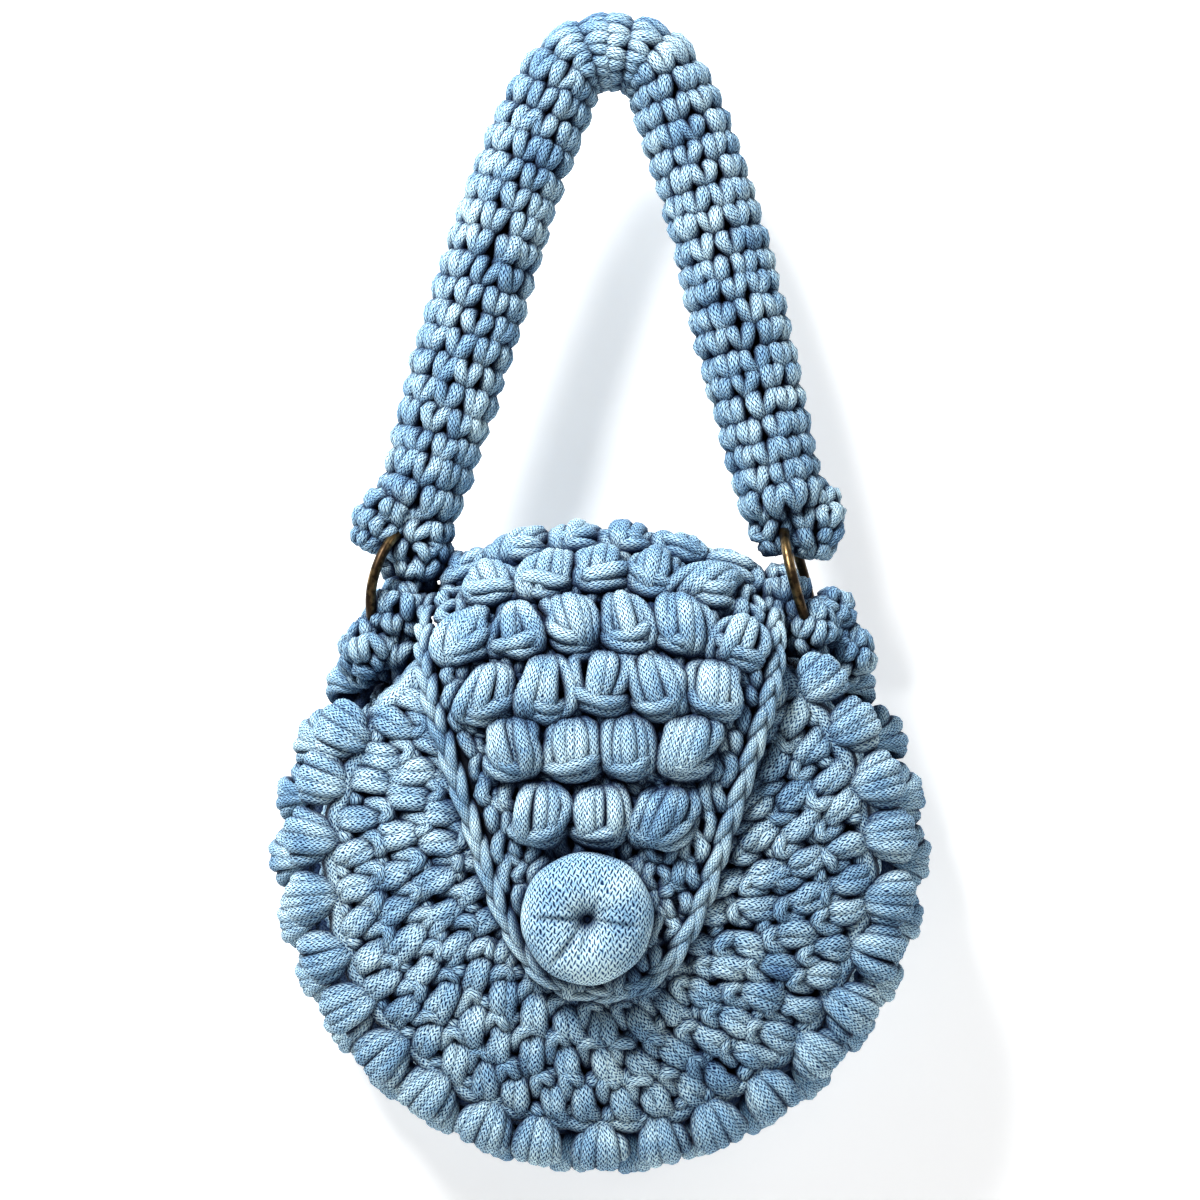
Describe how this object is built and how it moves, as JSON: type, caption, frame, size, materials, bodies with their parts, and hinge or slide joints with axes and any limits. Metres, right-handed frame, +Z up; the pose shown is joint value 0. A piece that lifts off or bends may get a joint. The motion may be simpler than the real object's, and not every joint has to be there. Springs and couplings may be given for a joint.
{
  "type": "round crochet handbag",
  "caption": "Round handbag of thick knitted cord with puff-stitch rims, a bobbled tongue flap with a stuffed button, metal rings and a padded handle, hung by the handle.",
  "frame": {"origin": "where a peg or hand holds the bag up: the underside of the handle's arch, on the bag's middle plane", "axes": "+Z up, the hanging bag's length; -Y the front, with the flap and button; +X to the right seen from the front"},
  "size_m": [0.2216, 0.0904, 0.3812],
  "materials": {
    "knitted_cord": "knitted cotton cord, light blue, matte",
    "antique_brass": "antique brass, dark with rubbed highlights"
  },
  "bodies": {
    "root": {"front_panel": "knitted_cord", "back_panel": "knitted_cord", "gusset": "knitted_cord", "front_puff_round": "knitted_cord", "back_puff_round": "knitted_cord", "flap": "knitted_cord", "flap_edging": "knitted_cord", "bobble_row_1": "knitted_cord", "bobble_row_2": "knitted_cord", "bobble_row_3": "knitted_cord", "bobble_row_4": "knitted_cord", "bobble_row_5": "knitted_cord", "bobble_row_6": "knitted_cord", "button": "knitted_cord", "tab_left": "knitted_cord", "tab_right": "knitted_cord", "handle": "knitted_cord", "ring_left": "antique_brass", "ring_right": "antique_brass"}
  },
  "joints": []
}
